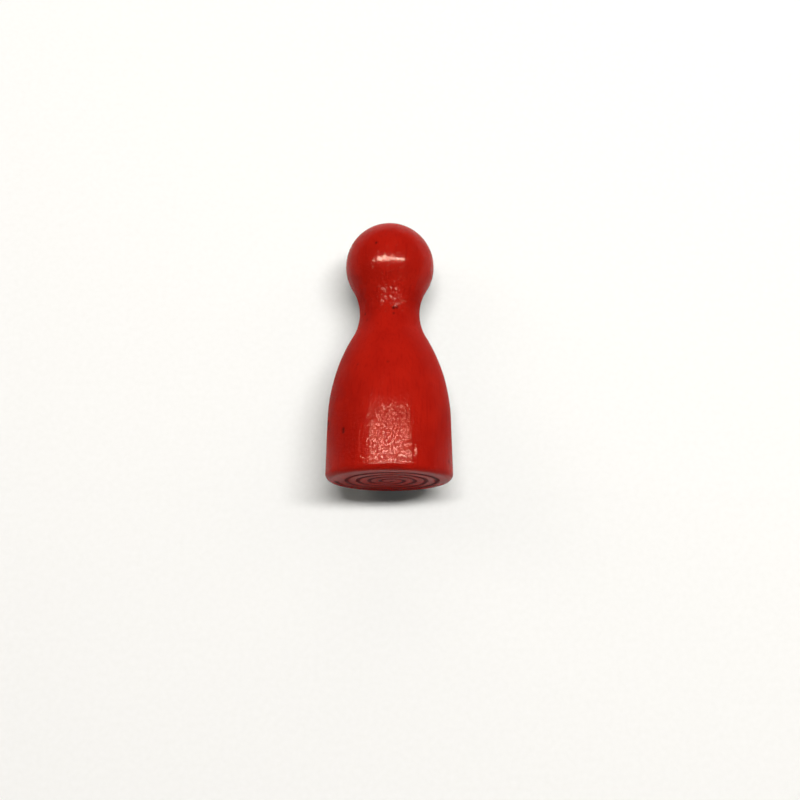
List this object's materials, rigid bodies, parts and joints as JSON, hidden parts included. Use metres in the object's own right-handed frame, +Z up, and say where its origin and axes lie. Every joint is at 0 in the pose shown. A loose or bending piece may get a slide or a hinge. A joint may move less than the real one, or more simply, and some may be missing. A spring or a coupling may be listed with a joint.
{
  "type": "playing pawn",
  "caption": "Turned wooden playing pawn: ball head, narrow neck, bell-shaped body and flat base with a faced spiral groove, under a dipped red lacquer film.",
  "frame": {"origin": "centre of the base, on the plane that the pawn stands on", "axes": "+Z up the turning axis, from the base to the head; the pawn is a body of revolution apart from the spiral groove in its base"},
  "size_m": [0.0138, 0.0138, 0.03],
  "materials": {
    "beech": "turned, sanded",
    "red_lacquer": "dipped gloss lacquer over open grain"
  },
  "bodies": {
    "root": {"turned_body": "beech", "lacquer_coat": "red_lacquer"}
  },
  "joints": []
}
